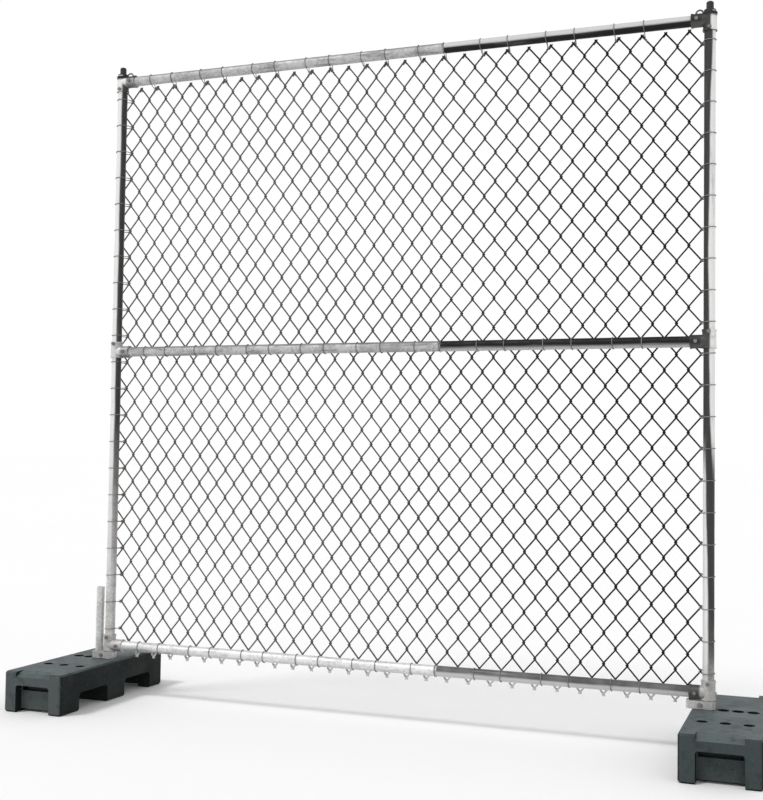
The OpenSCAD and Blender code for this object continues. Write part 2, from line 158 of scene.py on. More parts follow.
class Shader:
    """A material under construction round one principled shader."""

    def __init__(self, name: str) -> None:
        """Start an empty material.

        Args:
            name: The material's name.
        """
        self.material = bpy.data.materials.new(name)
        self.material.use_nodes = True
        self.tree = self.material.node_tree
        self.bsdf = self.tree.nodes["Principled BSDF"]
        coords = self.tree.nodes.new("ShaderNodeTexCoord")
        self.place = coords.outputs["Object"]
        self.normal = coords.outputs["Normal"]

    def set(self, socket: str, value: float | Colour) -> None:
        """Set one of the principled shader's sockets to a constant.

        Args:
            socket: The socket's name.
            value: The constant.
        """
        self.bsdf.inputs[socket].default_value = value

    def drive(self, socket: str, source: Socket) -> None:
        """Link a source into one of the principled shader's sockets.

        Args:
            socket: The socket's name.
            source: What drives it.
        """
        self.tree.links.new(source, self.bsdf.inputs[socket])

    def stretched(self, scale: Sequence[float]) -> Socket:
        """Stretch the piece's own coordinates.

        Args:
            scale: The stretch on each axis.

        Returns:
            A vector socket.
        """
        node = self.tree.nodes.new("ShaderNodeMapping")
        node.inputs["Scale"].default_value = scale
        self.tree.links.new(self.place, node.inputs["Vector"])
        return node.outputs["Vector"]

    def noise(self, cloud: Cloud, place: Socket | None = None) -> Socket:
        """Lay a cloudy pattern.

        Args:
            cloud: The pattern.
            place: Coordinates to read, or None for the piece's own.

        Returns:
            A value socket that runs from 0 to 1.
        """
        node = self.tree.nodes.new("ShaderNodeTexNoise")
        node.inputs["Scale"].default_value = cloud.scale
        node.inputs["Detail"].default_value = cloud.detail
        self.tree.links.new(place or self.place, node.inputs["Vector"])
        return node.outputs["Fac"]

    def spangle(self, scale: float) -> Socket:
        """Lay a pattern of flat crystals, each of one random tone.

        Args:
            scale: Crystals to the metre.

        Returns:
            A value socket that runs from 0 to 1.
        """
        node = self.tree.nodes.new("ShaderNodeTexVoronoi")
        node.inputs["Scale"].default_value = scale
        self.tree.links.new(self.place, node.inputs["Vector"])
        return self.part(node.outputs["Color"], Axis.X)

    def part(self, vector: Socket, axis: Axis) -> Socket:
        """Take one of a vector's three parts.

        Args:
            vector: The vector.
            axis: The part to take.

        Returns:
            A value socket.
        """
        node = self.tree.nodes.new("ShaderNodeSeparateXYZ")
        self.tree.links.new(vector, node.inputs[0])
        return node.outputs[axis.value]

    def spread(self, value: Socket, span: Span, to: Span = (0.0, 1.0)) -> Socket:
        """Map a value smoothly from one span to another in this material.

        Args:
            value: The value.
            span: Where the mapping starts and ends, in either order.
            to: What the start and the end become.

        Returns:
            A value socket.
        """
        return smooth_map(self.tree, value, span, to)

    def curve(self, value: Socket, points: Sequence[Span]) -> Socket:
        """Follow a curve that runs smoothly from point to point.

        Args:
            value: The value.
            points: Two or more values in rising order, each with what it becomes.

        Returns:
            A value socket.
        """
        (start, first), (stop, second) = points[:2]
        total = self.spread(value, (start, stop), (first, second))
        for (start, before), (stop, after) in zip(points[1:], points[2:]):
            step = self.spread(value, (start, stop), (0.0, after - before))
            total = self.combine("ADD", total, step)
        return total

    def combine(self, operation: str, a: Socket, b: Socket | float) -> Socket:
        """Put two values together.

        Args:
            operation: The math node's operation.
            a: First value.
            b: Second value, constant or linked.

        Returns:
            A value socket.
        """
        node = self.tree.nodes.new("ShaderNodeMath")
        node.operation = operation
        self.tree.links.new(a, node.inputs[0])
        if isinstance(b, (int, float)):
            node.inputs[1].default_value = b
        else:
            self.tree.links.new(b, node.inputs[1])
        return node.outputs[0]

    def wander(self, pattern: Socket, reach: float) -> Socket:
        """Turn a cloudy pattern into a small value that moves an edge either way.

        Args:
            pattern: The pattern.
            reach: Width of the band that the edge wanders in.

        Returns:
            A value socket.
        """
        return self.combine("MULTIPLY", self.combine("SUBTRACT", pattern, CLOUD_MIDDLE), reach)

    def mix(self, share: Socket, a: Colour | Socket, b: Colour | Socket) -> Socket:
        """Blend two colours.

        Args:
            share: How much of the second colour shows.
            a: First colour, constant or linked.
            b: Second colour, constant or linked.

        Returns:
            A colour socket.
        """
        node = self.tree.nodes.new("ShaderNodeMix")
        node.data_type = "RGBA"
        self.tree.links.new(share, node.inputs["Factor"])
        for socket, colour in ((node.inputs[MIX_A], a), (node.inputs[MIX_B], b)):
            if isinstance(colour, tuple):
                socket.default_value = colour
            else:
                self.tree.links.new(colour, socket)
        return node.outputs[MIX_RESULT]

    def roughen(self, pattern: Socket, between: Span) -> None:
        """Vary the roughness with a cloudy pattern.

        Args:
            pattern: The pattern.
            between: The least and the most roughness.
        """
        self.drive("Roughness", self.spread(pattern, CLOUD_BULK, between))

    def bump(self, relief: Relief) -> None:
        """Raise the surface by a fine relief.

        Args:
            relief: The relief.
        """
        height, *finer = [self.noise(cloud) for cloud in relief.clouds]
        for layer in finer:
            height = self.combine("ADD", height, layer)
        node = self.tree.nodes.new("ShaderNodeBump")
        node.inputs["Strength"].default_value = relief.strength
        node.inputs["Distance"].default_value = relief.depth
        self.tree.links.new(height, node.inputs["Height"])
        self.drive("Normal", node.outputs["Normal"])


# Finishes


@dataclass(frozen=True)
class Finish(ABC):
    """A finish that dresses one or more pieces."""

    name: str

    @abstractmethod
    def paint(self, shader: Shader) -> None:
        """Build the finish's nodes.

        Args:
            shader: The material to fill.
        """

    @cache
    def material(self) -> bpy.types.Material:
        """Return the finished material, made on first use."""
        shader = Shader(self.name)
        self.paint(shader)
        return shader.material

    def dress(self, piece: bpy.types.Object) -> None:
        """Give a piece this finish alone.

        Args:
            piece: The piece to dress.
        """
        piece.data.materials.clear()
        piece.data.materials.append(self.material())


@dataclass(frozen=True)
class Strip:
    """A strip of another tone along one side of a tube, for painted highlights and painted shade.

    A drift moves its edge with height: each point is a height and how far the strip grows there.
    """

    way: int = 1
    start: float = 0.0
    soft: float = 0.35
    share: float = 0.9
    drift: tuple[Span, ...] = ()

    def cover(self, shader: Shader, axis: Axis, ragged: Socket) -> Socket:
        """Find how far the strip covers the surface.

        Args:
            shader: The material that takes the strip.
            axis: The part of the surface's own normal that the strip follows.
            ragged: A small value that breaks up the strip's edge.

        Returns:
            A value socket that runs from 0 to the strip's share.
        """
        facing = shader.combine("MULTIPLY", shader.part(shader.normal, axis), float(self.way))
        if self.drift:
            height = shader.part(shader.place, Axis.Z)
            facing = shader.combine("ADD", facing, shader.curve(height, self.drift))
        edge = (self.start, self.start + self.soft)
        return shader.spread(shader.combine("ADD", facing, ragged), edge, (0.0, self.share))


@dataclass(frozen=True)
class ZincFinish(Finish):
    """Hot-dip zinc: dull crystals, grey clouds, faint dark stains and painted shade along one
    side.
    """

    light: Colour = grey(0.62)
    dark: Colour = grey(0.40)
    clouds: Cloud = Cloud(14.0, 5.0)
    crystals: float = 140.0
    crystal_share: float = 0.35
    tone_span: Span = (0.35, 0.95)
    streaks: Cloud = Cloud(1.0, 6.0)
    run: tuple[float, float, float] = (9.0, 60.0, 60.0)
    stain: Colour = grey(0.12, 0.05)
    stain_from: float = 0.56
    stain_soft: float = 0.20
    stain_share: float = 0.35
    # A darker tone painted as shade along one side of the tube: underneath by default, on top for
    # the upper left rails.
    side_shade: Colour = grey(0.10, 0.04)
    shade_strip: Strip = Strip(way=-1, start=0.15, soft=0.60, share=0.75)
    edge_wander: float = 0.4
    metallic: float = 0.45
    roughness: float = 0.42
    sheen: Cloud = Cloud(35.0)
    smoother: float = 0.08
    rougher: float = 0.12
    pits: Relief = Relief((Cloud(420.0, 3.0),), strength=0.12, depth=0.0006)

    def base(self, shader: Shader) -> Socket:
        """Build clean zinc with its crystals and clouds.

        Args:
            shader: The material to fill.

        Returns:
            A colour socket.
        """
        crystals = shader.combine("MULTIPLY", shader.spangle(self.crystals), self.crystal_share)
        tone = shader.combine("ADD", crystals, shader.noise(self.clouds))
        return shader.mix(shader.spread(tone, self.tone_span), self.dark, self.light)

    def paint(self, shader: Shader) -> None:
        """Build the zinc, then the stains that run along the piece and the painted shade along one
        side.
        """
        streak = shader.noise(self.streaks, shader.stretched(self.run))
        stains = shader.spread(streak, (self.stain_from, self.stain_from + self.stain_soft),
                               (0.0, self.stain_share))
        colour = shader.mix(stains, self.base(shader), self.stain)
        # Painted shade on the side of the tube that its facing picks.
        shade_strip = self.shade_strip.cover(shader, Axis.Z, shader.wander(streak, self.edge_wander))
        shader.drive("Base Color", shader.mix(shade_strip, colour, self.side_shade))
        shader.set("Metallic", self.metallic)
        shader.roughen(shader.noise(self.sheen),
                       (self.roughness - self.smoother, self.roughness + self.rougher))
        shader.bump(self.pits)


@dataclass(frozen=True)
class PostFinish(ZincFinish):
    """Zinc on a post, darkened above its foot by painted shade, with a painted highlight along one
    side.
    """

    # The post's painted shade, and the painted highlight along one side of it.
    painted_shade: Colour = grey(0.034)
    painted_highlight: Colour = grey(0.82, 0.01)
    upper: Strip = Strip()
    lower: Strip = Strip()
    edge_cloud: Cloud = Cloud(5.0, 6.0)
    turn_z: float = 0.82
    turn_soft: float = 0.08
    # Below pale_z the post keeps its zinc; above dark_z it is all painted shade and highlight.
    pale_z: float = 0.20
    dark_z: float = 1.25

    def base(self, shader: Shader) -> Socket:
        """Build zinc that gives way with height to the painted shade and its painted highlight
        strip.

        Args:
            shader: The material to fill.

        Returns:
            A colour socket.
        """
        height = shader.part(shader.place, Axis.Z)
        ragged = shader.wander(shader.noise(self.edge_cloud), self.edge_wander)
        low, high = (shader.mix(strip.cover(shader, Axis.X, ragged), self.painted_shade, self.painted_highlight)
                     for strip in (self.lower, self.upper))
        turn = shader.spread(height, (self.turn_z - self.turn_soft, self.turn_z + self.turn_soft))
        up = shader.spread(shader.combine("ADD", height, ragged), (self.pale_z, self.dark_z))
        return shader.mix(up, super().base(shader), shader.mix(turn, low, high))


@dataclass(frozen=True)
class TeeFinish(PostFinish):
    """A tee with its post's painted shade and highlight, its cup in its rail's tone, and its crown
    black next to the cap.
    """

    metallic: float = 0.35
    roughness: float = 0.50
    crystals: float = 320.0
    # The cup takes its rail's tone: on the right, the rails' painted shade.
    cup: Colour = grey(0.012)
    cup_between: Span = (0.952, 0.944)
    crown: Colour = grey(0.012)
    crown_between: Span = (2.073, 2.083)

    def base(self, shader: Shader) -> Socket:
        """Build the post's tones, with the cup's and the crown's laid over them.

        Args:
            shader: The material to fill.

        Returns:
            A colour socket.
        """
        cup = shader.spread(shader.part(shader.place, Axis.X), self.cup_between)
        colour = shader.mix(cup, super().base(shader), self.cup)
        crown = shader.spread(shader.part(shader.place, Axis.Z), self.crown_between)
        return shader.mix(crown, colour, self.crown)


@dataclass(frozen=True)
class ShadedTubeFinish(Finish):
    """A tube darkened as painted shade, with a painted highlight along one side, a low sheen and
    grey scuffs.
    """

    # The dark skin is painted shade, with random tone in it.
    deep: Colour = grey(0.003)
    skin_pale: Colour = grey(0.010)
    skin: Cloud = Cloud(18.0, 6.0)
    streaks: Cloud = Cloud(1.0, 7.0)
    run: tuple[float, float, float] = (6.0, 70.0, 70.0)
    scuff: Colour = grey(0.20)
    scuff_span: Span = (0.58, 0.78)
    scuff_share: float = 0.3
    # A painted highlight along one side of the tube.
    painted_highlight: Colour = grey(0.60)
    strip: Strip = Strip()
    edge_wander: float = 0.5
    specular: float = 0.2
    roughness: Span = (0.39, 0.61)
    sheen: Cloud = Cloud(40.0)
    pits: Relief = Relief((Cloud(300.0, 4.0),), strength=0.15, depth=0.0006)

    def paint(self, shader: Shader) -> None:
        """Build the dark skin of painted shade, the scuffs and the painted highlight strip."""
        skin = shader.mix(shader.noise(self.skin), self.deep, self.skin_pale)
        streak = shader.noise(self.streaks, shader.stretched(self.run))
        scuffs = shader.spread(streak, self.scuff_span, (0.0, self.scuff_share))
        pale = self.strip.cover(shader, Axis.Z, shader.wander(streak, self.edge_wander))
        scuffed = shader.mix(scuffs, skin, self.scuff)
        shader.drive("Base Color", shader.mix(pale, scuffed, self.painted_highlight))
        shader.set("Specular IOR Level", self.specular)
        shader.roughen(shader.noise(self.sheen), self.roughness)
        shader.bump(self.pits)


@dataclass(frozen=True)
class MeshFinish(Finish):
    """Drawn zinc wire, paler to the left, darker to the right as painted shade, and paler at the
    lower tips.
    """

    pale: Colour = grey(0.13)
    # The right wires' tone is painted shade.
    dull: Colour = grey(0.006)
    across: Span = (-0.50, 0.80)
    mottle: Colour = grey(0.02)
    mottles: Cloud = Cloud(22.0, 5.0)
    mottle_span: Span = (0.35, 0.75)
    mottle_share: float = 0.45
    tip: Colour = grey(0.55)
    tip_between: Span = (0.175, 0.155)
    metallic: float = 0.2
    specular: float = 0.2
    roughness: Span = (0.38, 0.58)
    sheen: Cloud = Cloud(90.0)
    grain: Relief = Relief((Cloud(900.0, 2.0),), strength=0.1, depth=0.0003)

    def paint(self, shader: Shader) -> None:
        """Build the wire's tone, its painted shade across the panel, its tips and its fine grain.
        """
        across = shader.spread(shader.part(shader.place, Axis.X), self.across)
        mottles = shader.spread(shader.noise(self.mottles), self.mottle_span,
                                (0.0, self.mottle_share))
        colour = shader.mix(mottles, shader.mix(across, self.pale, self.dull), self.mottle)
        tips = shader.spread(shader.part(shader.place, Axis.Z), self.tip_between)
        shader.drive("Base Color", shader.mix(tips, colour, self.tip))
        shader.set("Metallic", self.metallic)
        shader.set("Specular IOR Level", self.specular)
        shader.roughen(shader.noise(self.sheen), self.roughness)
        shader.bump(self.grain)


@dataclass(frozen=True)
class FootFinish(Finish):
    """Moulded recycled plastic, deep green-grey: lighter on top from dust and painted light,
    lighter at the ends as painted light, darker on the sides and in the tunnels as painted shade.
    """

    # The plastic darkened as painted shade, on the sides and the tunnel walls.
    side: Colour = (0.0065, 0.0095, 0.0097, 1.0)
    # A lighter tone on the end faces, painted light.
    end: Colour = (0.042, 0.053, 0.054, 1.0)
    end_span: Span = (0.35, 0.85)
    # How far out along Y the end tone starts, which keeps the tunnel walls in painted shade.
    end_from: Span = (0.224, 0.245)
    # A lighter tone on top, dust and painted light.
    dust: Colour = (0.098, 0.121, 0.123, 1.0)
    dust_span: Span = (0.45, 0.95)
    patches: Cloud = Cloud(9.0, 6.0)
    edge_wander: float = 0.5
    dark: Colour = (0.016, 0.021, 0.021, 1.0)
    blotches: Cloud = Cloud(42.0, 7.0)
    blotch_span: Span = (0.48, 0.70)
    blotch_share: float = 0.40
    speck: Colour = (0.16, 0.18, 0.18, 1.0)
    specks: Cloud = Cloud(240.0, 3.0)
    speck_span: Span = (0.60, 0.72)
    speck_share: float = 0.30
    specular: float = 0.15
    roughness: Span = (0.52, 0.72)
    grain: Relief = Relief((Cloud(700.0, 3.0), Cloud(60.0, 4.0)), strength=0.25, depth=0.0008)

    def paint(self, shader: Shader) -> None:
        """Build the three tones of plastic, painted light and painted shade, the blotches, the
        recycled specks and the moulded grain.
        """
        cloud = shader.noise(self.patches)
        ragged = shader.wander(cloud, self.edge_wander)
        # End faces take the end tone's painted light, kept off the tunnel walls so they stay in
        # painted shade.
        facing = shader.part(shader.normal, Axis.Y)
        facing_end = shader.combine("ADD", shader.combine("MULTIPLY", facing, facing), ragged)
        reach = shader.combine("ABSOLUTE", shader.part(shader.place, Axis.Y), 0.0)
        lit_end = shader.combine("MULTIPLY", shader.spread(reach, self.end_from),
                                shader.spread(facing_end, self.end_span))
        colour = shader.mix(lit_end, self.side, self.end)
        # Faces that face up take the top tone, dust and painted light.
        facing_up = shader.combine("ADD", shader.part(shader.normal, Axis.Z), ragged)
        colour = shader.mix(shader.spread(facing_up, self.dust_span), colour, self.dust)
        for spots, span, share, tone in (
                (self.blotches, self.blotch_span, self.blotch_share, self.dark),
                (self.specks, self.speck_span, self.speck_share, self.speck)):
            cover = shader.spread(shader.noise(spots), span, (0.0, share))
            colour = shader.mix(cover, colour, tone)
        shader.drive("Base Color", colour)
        shader.set("Specular IOR Level", self.specular)
        shader.roughen(cloud, self.roughness)
        shader.bump(self.grain)


@dataclass(frozen=True)
class CapFinish(Finish):
    """Black moulded plastic with a soft sheen."""

    black: Colour = grey(0.008)
    dust: Colour = grey(0.05)
    dusting: Cloud = Cloud(45.0, 6.0)
    dust_span: Span = (0.5, 0.8)
    dust_share: float = 0.4
    roughness: Span = (0.35, 0.55)
    sheen: Cloud = Cloud(120.0)
    grain: Relief = Relief((Cloud(1200.0, 2.0),), strength=0.12, depth=0.0003)

    def paint(self, shader: Shader) -> None:
        """Build the black skin with a little dust."""
        dusty = shader.spread(shader.noise(self.dusting), self.dust_span, (0.0, self.dust_share))
        shader.drive("Base Color", shader.mix(dusty, self.black, self.dust))
        shader.roughen(shader.noise(self.sheen), self.roughness)
        shader.bump(self.grain)


@dataclass(frozen=True)
class FloorFinish(Finish):
    """A plain pale studio floor."""

    dark: Colour = grey(0.93)
    light: Colour = grey(0.95)
    clouds: Cloud = Cloud(0.6, 2.0)
    roughness: float = 0.9

    def paint(self, shader: Shader) -> None:
        """Build an even pale surface."""
        shader.drive("Base Color", shader.mix(shader.noise(self.clouds), self.dark, self.light))
        shader.set("Roughness", self.roughness)


# Sides of the posts and tees that carry the painted highlight.
LEFT_SIDE = Strip(way=-1, start=-0.57)
RIGHT_SIDE = Strip(way=1, start=0.02)
DOWN_POST = (60.0, 60.0, 8.0)
DOWN_SPIGOT = (60.0, 60.0, 10.0)
LEFT_CUP = (-0.952, -0.944)

# The upper left rails carry their painted shade along the top of the tube.
RAIL_ZINC = ZincFinish(
    "rail_zinc", light=grey(0.54), dark=grey(0.34), stain_from=0.50, stain_share=0.65,
    side_shade=grey(0.15), shade_strip=Strip(way=1, start=-0.05, soft=0.95, share=0.70), roughness=0.55)
LOW_RAIL_ZINC = ZincFinish(
    "low_rail_zinc", light=grey(0.78), dark=grey(0.56), stain_share=0.5, side_shade=grey(0.25),
    shade_strip=Strip(way=-1, start=0.15, soft=0.60, share=0.30), metallic=0.4, roughness=0.50)
# Both posts are in painted shade above their feet; the right post's painted highlight drifts with
# height and lies on its left side low down.
LEFT_POST = PostFinish(
    "left_post_zinc", light=grey(0.62, 0.02), dark=grey(0.42, 0.02), upper=LEFT_SIDE,
    lower=LEFT_SIDE, dark_z=1.0, run=DOWN_POST)
RIGHT_POST = PostFinish(
    "right_post_zinc", light=grey(0.55, 0.02), dark=grey(0.36, 0.02),
    upper=Strip(way=1, start=0.02, drift=(
        (0.70, -0.65), (1.00, 0.02), (1.40, 0.24), (1.84, 0.0), (2.00, -0.35))),
    lower=Strip(way=-1, start=-0.17, drift=((0.35, 0.0), (0.80, -0.47))),
    pale_z=0.10, dark_z=0.40, run=DOWN_POST)
SPIGOT_ZINC = ZincFinish("spigot_zinc", light=grey(0.68), dark=grey(0.46), run=DOWN_SPIGOT)
CAST_ZINC = ZincFinish(
    "cast_zinc", light=grey(0.55, 0.02), dark=grey(0.36, 0.02), metallic=0.35, roughness=0.55,
    crystals=320.0)
LEFT_TEE = TeeFinish(
    "left_tee_zinc", painted_shade=grey(0.04), upper=LEFT_SIDE, lower=LEFT_SIDE, cup=grey(0.32),
    cup_between=LEFT_CUP)
PALE_LEFT_TEE = TeeFinish(
    "pale_left_tee_zinc", painted_shade=grey(0.42), painted_highlight=grey(0.62), upper=LEFT_SIDE,
    lower=LEFT_SIDE, cup=grey(0.32), cup_between=LEFT_CUP)
RIGHT_TEE = TeeFinish(
    "right_tee_zinc", painted_shade=grey(0.03), upper=RIGHT_SIDE, lower=RIGHT_SIDE, metallic=0.2)
LOW_RIGHT_TEE = TeeFinish(
    "low_right_tee_zinc", light=grey(0.55, 0.02), dark=grey(0.36, 0.02), pale_z=0.5,
    cup=grey(0.07), roughness=0.55)
TEE_BOLT = ZincFinish(
    "tee_bolt_zinc", light=grey(0.22, 0.03), dark=grey(0.10, 0.03), crystals=500.0)
BOLT_ZINC = ZincFinish(
    "bolt_zinc", light=grey(0.40, 0.03), dark=grey(0.24, 0.03), metallic=0.8, roughness=0.34,
    crystals=500.0)
EYE_ZINC = ZincFinish("eye_zinc", light=grey(0.16), dark=grey(0.08), crystals=400.0)
TIE_ZINC = ZincFinish(
    "tie_zinc", light=grey(0.26), dark=grey(0.14), metallic=0.2, crystals=400.0)
# The right rails are dark as painted shade over the panel's right part, with a painted highlight
# on top of the top rail and under the middle and bottom rails.
TOP_RAIL = ShadedTubeFinish("top_rail_dark", strip=Strip(way=1, start=-0.35, soft=0.40))
MIDDLE_RAIL = ShadedTubeFinish(
    "middle_rail_dark", strip=Strip(way=-1, start=0.10, soft=0.80, share=0.8))
BOTTOM_RAIL = ShadedTubeFinish(
    "bottom_rail_mottled", skin_pale=grey(0.22), scuff=grey(0.45), scuff_share=0.9,
    strip=Strip(way=-1, start=-0.25, soft=0.50, share=0.8))
MESH_WIRE = MeshFinish("mesh_wire")
LEFT_FOOT_PLASTIC = FootFinish("left_foot_plastic", end=(0.066, 0.078, 0.078, 1.0))
RIGHT_FOOT_PLASTIC = FootFinish("right_foot_plastic")
CAP_PLASTIC = CapFinish("cap_plastic")
FLOOR = FloorFinish("studio_floor")


# Wire work


def section_poses(path: Path) -> list[Matrix]:
    """Place a wire's section at each point of its path.

    Args:
        path: The line that the middle of the wire follows.

    Returns:
        One pose for each point, turned with the path and mitred at its bends.
    """
    ways = [(b - a).normalized() for a, b in zip(path, path[1:])]
    facing = Vector((0.0, 0.0, 1.0)).rotation_difference(ways[0])
    poses = []
    for n, place in enumerate(path):
        before, after = ways[max(n - 1, 0)], ways[min(n, len(ways) - 1)]
        bend = before.rotation_difference(after)
        half = Quaternion().slerp(bend, 0.5)
        pose = (half @ facing).to_matrix()
        if bend.angle > FLAT_BEND:
            stretch = min(1 / math.cos(bend.angle / 2), MOST_STRETCH)
            pose = Matrix.Scale(stretch, 3, bend.axis.cross(half @ before)) @ pose
        poses.append(Matrix.Translation(place) @ pose.to_4x4())
        facing = bend @ facing
    return poses


def swept(paths: Iterable[Path], radius: float, sides: int, name: str) -> bpy.types.Mesh:
    """Sweep a round wire along each path.

    Args:
        paths: One open path for each wire.
        radius: The wire's radius.
        sides: Sides of the wire's section.
        name: Name of the mesh.

    Returns:
        One mesh of all the wires, closed at their ends.
    """
    mesh = bpy.data.meshes.new(name)
    whole = bmesh.new()
    for path in paths:
        wire = bmesh.new()
        circle = bmesh.ops.create_circle(wire, cap_ends=True, radius=radius, segments=sides)
        face, last = circle["verts"][0].link_faces[0], Matrix.Identity(4)
        for n, pose in enumerate(section_poses(path)):
            if n:
                face = bmesh.ops.extrude_discrete_faces(wire, faces=[face])["faces"][0]
            bmesh.ops.transform(wire, matrix=pose @ last.inverted(), verts=face.verts)
            last = pose
        rim = [edge for edge in wire.edges if edge.is_boundary]
        bmesh.ops.edgeloop_fill(wire, edges=rim)
        wire.to_mesh(mesh)
        wire.free()
        whole.from_mesh(mesh)
    whole.to_mesh(mesh)
    whole.free()
    return mesh


def add_piece(mesh: bpy.types.Mesh, finish: Finish, replaced: str) -> None:
    """Add a piece to the panel from a mesh that is already in place.

    Args:
        mesh: The mesh, in the part's own frame.
        finish: What the piece is dressed in.
        replaced: The solid that it stands for.
    """
    bm = bmesh.new()
    bm.from_mesh(mesh)
    bmesh.ops.remove_doubles(bm, verts=bm.verts, dist=WELD)
    bmesh.ops.recalc_face_normals(bm, faces=bm.faces)
    for face in bm.faces:
        face.smooth = len(face.verts) == 4
    bm.to_mesh(mesh)
    bm.free()
    piece = bpy.data.objects.new(mesh.name, mesh)
    bpy.context.scene.collection.objects.link(piece)
    finish.dress(piece)
    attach(piece, PANEL)
    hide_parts(replaced)
    LOG.info("%s: %d faces", piece.name, len(mesh.polygons))


@dataclass
class ChainLink:
    """Chain-link mesh: upright zigzag wires, each linked to the next at every bend.

    The first wire laps behind the left post, and starts above the height that the spigot sweeps.
    """

    wire_r: float = 0.0025
    depth: float = 0.0026
    bend_h: float = 0.0030
    tail: float = 0.012
    sides: int = 6
    turn_steps: int = 4
    half_rows: int = 43
    left_pickets: int = 35
    right_pickets: int = 23
    left_share: float = 0.5885
    top_z: float = 2.054
    bottom_z: float = 0.134
    lap_z: float = 0.40
    y: float = field(init=False)
    edges: list[float] = field(init=False)

    def __post_init__(self) -> None:
        """Take the mesh's place from its solid."""
        low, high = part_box("chain_link_mesh")
        self.y = (low.y + high.y) / 2
        start, stop = low.x + self.depth + self.wire_r, high.x - self.depth - self.wire_r
        seam = start + self.left_share * (stop - start)
        self.edges = [start + (seam - start) * k / self.left_pickets
                      for k in range(-1, self.left_pickets)]
        self.edges += [seam + (stop - seam) * k / self.right_pickets
                       for k in range(self.right_pickets + 1)]

    @property
    def pickets(self) -> int:
        """Number of zigzag wires."""
        return len(self.edges) - 1

    @property
    def half_row_h(self) -> float:
        """Height from one bend of a wire to the next."""
        return (self.top_z - self.bottom_z) / self.half_rows

    def bend_side(self, k: int, i: int) -> Side:
        """Return the way that wire k bends at height i."""
        return Side.LEFT if (k + i) % 2 else Side.RIGHT

    def bend_z(self, i: int) -> float:
        """Return the height of bend i."""
        return self.bottom_z + i * self.half_row_h

    def first_bend(self, k: int) -> int:
        """Return wire k's lowest bend, raised on the lap and where the couplers swing past."""
        if k == 0:
            return math.ceil((self.lap_z - self.bottom_z) / self.half_row_h)
        return 1 if k in map(self.tied_picket, Side) else 0

    def tied_picket(self, side: Side) -> int:
        """Return the wire whose outer bends are tied to a post."""
        return 1 if side is Side.LEFT else self.pickets - 1

    def bend_edge(self, k: int, i: int) -> float:
        """Return the place across the panel of wire k's bend at height i."""
        return self.edges[k + 1] if self.bend_side(k, i) is Side.RIGHT else self.edges[k]

    def turn(self, k: int, i: int) -> Path:
        """Lead a wire round one bend, from one face of the mesh to the other.

        Args:
            k: The wire.
            i: The bend.

        Returns:
            The path of the half turn.
        """
        side = self.bend_side(k, i).value
        points = []
        for step in range(self.turn_steps + 1):
            angle = math.pi * (step / self.turn_steps - 0.5)
            rise = angle / (math.pi / 2) * self.bend_h
            if i == self.first_bend(k):
                rise = abs(rise)
            elif i == self.half_rows:
                rise = -abs(rise)
            points.append(Vector((self.bend_edge(k, i) + side * self.depth * math.cos(angle),
                                  self.y + side * self.depth * math.sin(angle),
                                  self.bend_z(i) + rise)))
        return points

    def folded_tail(self, k: int, i: int, turn: Path) -> Vector:
        """Fold a wire's end back along itself past its last turn.

        Args:
            k: The wire.
            i: The bend next to the end.
            turn: The path of that bend.

        Returns:
            The wire's end.
        """
        inward = -1 if i == self.half_rows else 1
        end = turn[-1] if i == self.half_rows else turn[0]
        other = self.bend_edge(k, i + inward)
        way = Vector((other - end.x, 0.0, inward * self.half_row_h)).normalized()
        return end + way * self.tail

    def picket(self, k: int) -> Path:
        """Return the whole path of wire k, from its lower fold to its upper fold."""
        first = self.first_bend(k)
        turns = [self.turn(k, i) for i in range(first, self.half_rows + 1)]
        path = [self.folded_tail(k, first, turns[0])]
        for turn in turns:
            path += turn
        return path + [self.folded_tail(k, self.half_rows, turns[-1])]

    def strand(self, k: int, z: float) -> tuple[Vector, float]:
        """Find a wire at a height.

        Args:
            k: The wire.
            z: The height.

        Returns:
            The wire's middle there, and its rise for each metre to the right.
        """
        i = math.floor((z - self.bottom_z) / self.half_row_h)
        i = min(max(i, 0), self.half_rows - 1)
        x0, x1 = self.bend_edge(k, i), self.bend_edge(k, i + 1)
        share = (z - self.bend_z(i)) / self.half_row_h
        face = -1 if x1 > x0 else 1
        hold = Vector((x0 + share * (x1 - x0), self.y + face * self.depth, z))
        return hold, self.half_row_h / (x1 - x0)

    def build(self) -> None:
        """Make the mesh piece, which stands for the mesh's solid."""
        paths = [self.picket(k) for k in range(self.pickets)]
        mesh = swept(paths, self.wire_r, self.sides, "chain_link")
        add_piece(mesh, MESH_WIRE, "chain_link_mesh")


